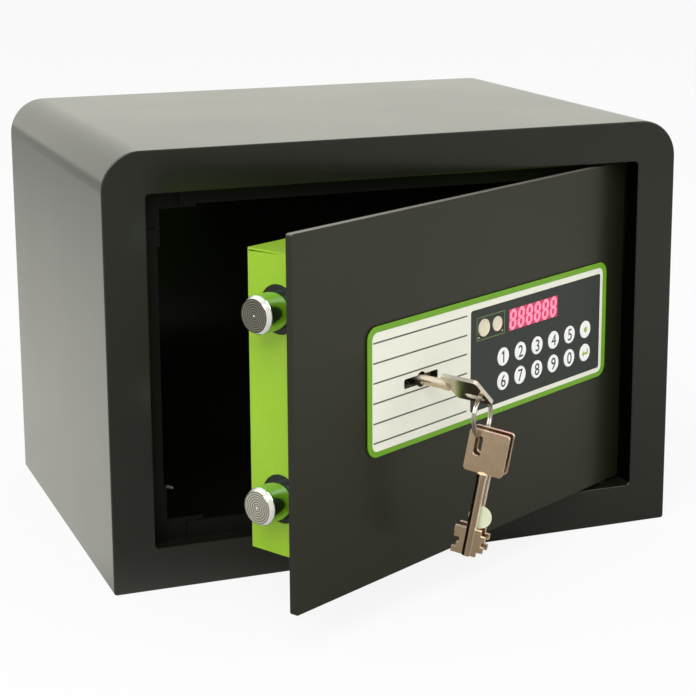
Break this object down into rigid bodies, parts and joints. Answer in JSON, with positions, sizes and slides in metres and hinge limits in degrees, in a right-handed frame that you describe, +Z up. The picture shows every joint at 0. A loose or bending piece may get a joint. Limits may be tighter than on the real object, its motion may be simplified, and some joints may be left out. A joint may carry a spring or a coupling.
{
  "type": "electronic safe deposit box",
  "caption": "Small steel electronic safe with rounded top corners, standing open on a lime-edged door with two round bolts, keypad, display and double-bit key with a ring of spare keys",
  "frame": {"origin": "centre of the cabinet's underside, on the floor", "axes": "+X to the right seen from the front, front faces -Y, +Z up"},
  "size_m": [0.35, 0.375, 0.25],
  "materials": {
    "cabinet_paint": "fine-textured dark grey powder coat",
    "door_paint": "smooth satin dark grey powder coat",
    "pan_paint": "smooth satin lime green powder coat",
    "bolt_steel": "turned and bright plated",
    "works_steel": "zinc-plated pressed steel",
    "lock_brass": "plain machined",
    "bush_plastic": "moulded black",
    "panel_green": "moulded, satin",
    "label_white": "printed film, satin",
    "facia_grey": "matt film over moulding",
    "display_red": "smoked red window",
    "contact_metal": "nickel-plated",
    "button_white": "moulded, printed",
    "board_green": "lacquered",
    "motor_steel": "plated",
    "key_nickel": "nickel plate, slightly worn",
    "ring_steel": "bright spring steel",
    "disc_plastic": "pale moulded plastic",
    "cell_jacket": "plain jacket",
    "reset_red": "moulded red",
    "lead_rubber": "insulated leads"
  },
  "bodies": {
    "cabinet": {"back_plate": "cabinet_paint", "base_plate": "cabinet_paint", "casing_wrap": "cabinet_paint", "corner_gussets": "cabinet_paint", "door_stop_bottom": "cabinet_paint", "door_stop_left": "cabinet_paint", "door_stop_top": "cabinet_paint", "front_frame": "cabinet_paint", "hinge_brackets": "cabinet_paint", "hinge_bushes": "bush_plastic"},
    "hinge_pins": {"hinge_pins": "works_steel"},
    "door": {"battery_cells": "cell_jacket", "battery_springs": "works_steel", "battery_tray": "bush_plastic", "bolt_bushes": "bush_plastic", "circuit_board": "board_green", "contact_large": "contact_metal", "contact_small": "contact_metal", "control_panel": "panel_green", "display_module": "display_red", "door_pan": "pan_paint", "door_plate": "door_paint", "gear_motor": "motor_steel", "guide_studs": "works_steel", "hinge_leaves": "door_paint", "keypad_facia": "facia_grey", "label_face": "label_white", "lock_case": "works_steel", "lock_levers": "lock_brass", "motor_bracket": "works_steel", "pan_screws": "works_steel", "pan_standoffs": "works_steel", "reset_switch": "bush_plastic", "wiring": "lead_rubber"},
    "bolts": {"bolt_carriage": "works_steel", "bolt_lower": "bolt_steel", "bolt_upper": "bolt_steel"},
    "lead_screw": {"lead_screw": "works_steel"},
    "lock_key": {"lock_key": "key_nickel"},
    "key_ring": {"key_ring": "ring_steel"},
    "spare_keys": {"spare_key_front": "key_nickel", "spare_key_rear": "key_nickel", "key_disc": "disc_plastic"},
    "reset_button": {"reset_button": "reset_red"},
    "battery_cover": {"battery_cover": "bush_plastic"},
    "button_0": {"button_0": "button_white"},
    "button_1": {"button_1": "button_white"},
    "button_2": {"button_2": "button_white"},
    "button_3": {"button_3": "button_white"},
    "button_4": {"button_4": "button_white"},
    "button_5": {"button_5": "button_white"},
    "button_6": {"button_6": "button_white"},
    "button_7": {"button_7": "button_white"},
    "button_8": {"button_8": "button_white"},
    "button_9": {"button_9": "button_white"},
    "button_enter": {"button_enter": "button_white"},
    "button_star": {"button_star": "button_white"}
  },
  "joints": [
    {"name": "door_shut", "type": "hinge", "parent": "cabinet", "child": "hinge_pins", "pos_m": [0.1361, -0.1095, 0.125], "axis": [0, 0, 1], "range_deg": [-28.2, 0]},
    {"name": "door_swing", "type": "hinge", "parent": "hinge_pins", "child": "door", "pos_m": [0.1361, -0.1095, 0.125], "axis": [0, 0, 1], "range_deg": [0, 66.8]},
    {"name": "bolt_throw", "type": "slide", "parent": "door", "child": "bolts", "axis": [-0.8813, -0.4726, 0], "range_m": [-0.016, 0]},
    {"name": "screw_spin", "type": "hinge", "parent": "door", "child": "lead_screw", "pos_m": [0.0093, -0.16104, 0.0965], "axis": [-0.8813, -0.4726, 0], "range_deg": [-720, 0]},
    {"name": "key_turn", "type": "hinge", "parent": "door", "child": "lock_key", "pos_m": [-0.01403, -0.22121, 0.1305], "axis": [0.4726, -0.8813, 0], "range_deg": [-46, 44]},
    {"name": "ring_swing", "type": "hinge", "parent": "lock_key", "child": "key_ring", "pos_m": [-0.00056, -0.23344, 0.12615], "axis": [-0.6717, 0.7408, 0], "range_deg": [-20, 10]},
    {"name": "spare_swing", "type": "hinge", "parent": "key_ring", "child": "spare_keys", "pos_m": [-0.00056, -0.23344, 0.10417], "axis": [0.7408, 0.6717, 0], "range_deg": [-20, 10]},
    {"name": "press_0", "type": "slide", "parent": "door", "child": "button_0", "axis": [-0.4726, 0.8813, 0], "range_m": [0, 0.0005], "stiffness_N_per_m": 400, "springref_m": -0.0005},
    {"name": "press_1", "type": "slide", "parent": "door", "child": "button_1", "axis": [-0.4726, 0.8813, 0], "range_m": [0, 0.0005], "stiffness_N_per_m": 400, "springref_m": -0.0005},
    {"name": "press_2", "type": "slide", "parent": "door", "child": "button_2", "axis": [-0.4726, 0.8813, 0], "range_m": [0, 0.0005], "stiffness_N_per_m": 400, "springref_m": -0.0005},
    {"name": "press_3", "type": "slide", "parent": "door", "child": "button_3", "axis": [-0.4726, 0.8813, 0], "range_m": [0, 0.0005], "stiffness_N_per_m": 400, "springref_m": -0.0005},
    {"name": "press_4", "type": "slide", "parent": "door", "child": "button_4", "axis": [-0.4726, 0.8813, 0], "range_m": [0, 0.0005], "stiffness_N_per_m": 400, "springref_m": -0.0005},
    {"name": "press_5", "type": "slide", "parent": "door", "child": "button_5", "axis": [-0.4726, 0.8813, 0], "range_m": [0, 0.0005], "stiffness_N_per_m": 400, "springref_m": -0.0005},
    {"name": "press_6", "type": "slide", "parent": "door", "child": "button_6", "axis": [-0.4726, 0.8813, 0], "range_m": [0, 0.0005], "stiffness_N_per_m": 400, "springref_m": -0.0005},
    {"name": "press_7", "type": "slide", "parent": "door", "child": "button_7", "axis": [-0.4726, 0.8813, 0], "range_m": [0, 0.0005], "stiffness_N_per_m": 400, "springref_m": -0.0005},
    {"name": "press_8", "type": "slide", "parent": "door", "child": "button_8", "axis": [-0.4726, 0.8813, 0], "range_m": [0, 0.0005], "stiffness_N_per_m": 400, "springref_m": -0.0005},
    {"name": "press_9", "type": "slide", "parent": "door", "child": "button_9", "axis": [-0.4726, 0.8813, 0], "range_m": [0, 0.0005], "stiffness_N_per_m": 400, "springref_m": -0.0005},
    {"name": "press_enter", "type": "slide", "parent": "door", "child": "button_enter", "axis": [-0.4726, 0.8813, 0], "range_m": [0, 0.0005], "stiffness_N_per_m": 400, "springref_m": -0.0005},
    {"name": "press_star", "type": "slide", "parent": "door", "child": "button_star", "axis": [-0.4726, 0.8813, 0], "range_m": [0, 0.0005], "stiffness_N_per_m": 400, "springref_m": -0.0005},
    {"name": "press_reset", "type": "slide", "parent": "door", "child": "reset_button", "axis": [0.4726, -0.8813, 0], "range_m": [0, 0.0015], "stiffness_N_per_m": 300, "springref_m": -0.0005},
    {"name": "cover_slide", "type": "slide", "parent": "door", "child": "battery_cover", "axis": [0, 0, 1], "range_m": [0, 0.035]}
  ],
  "couplings": [
    {"joint": "bolt_throw", "follows": "door_shut", "m_per_rad": 0.032507},
    {"joint": "screw_spin", "follows": "door_shut", "ratio": 25.532}
  ]
}
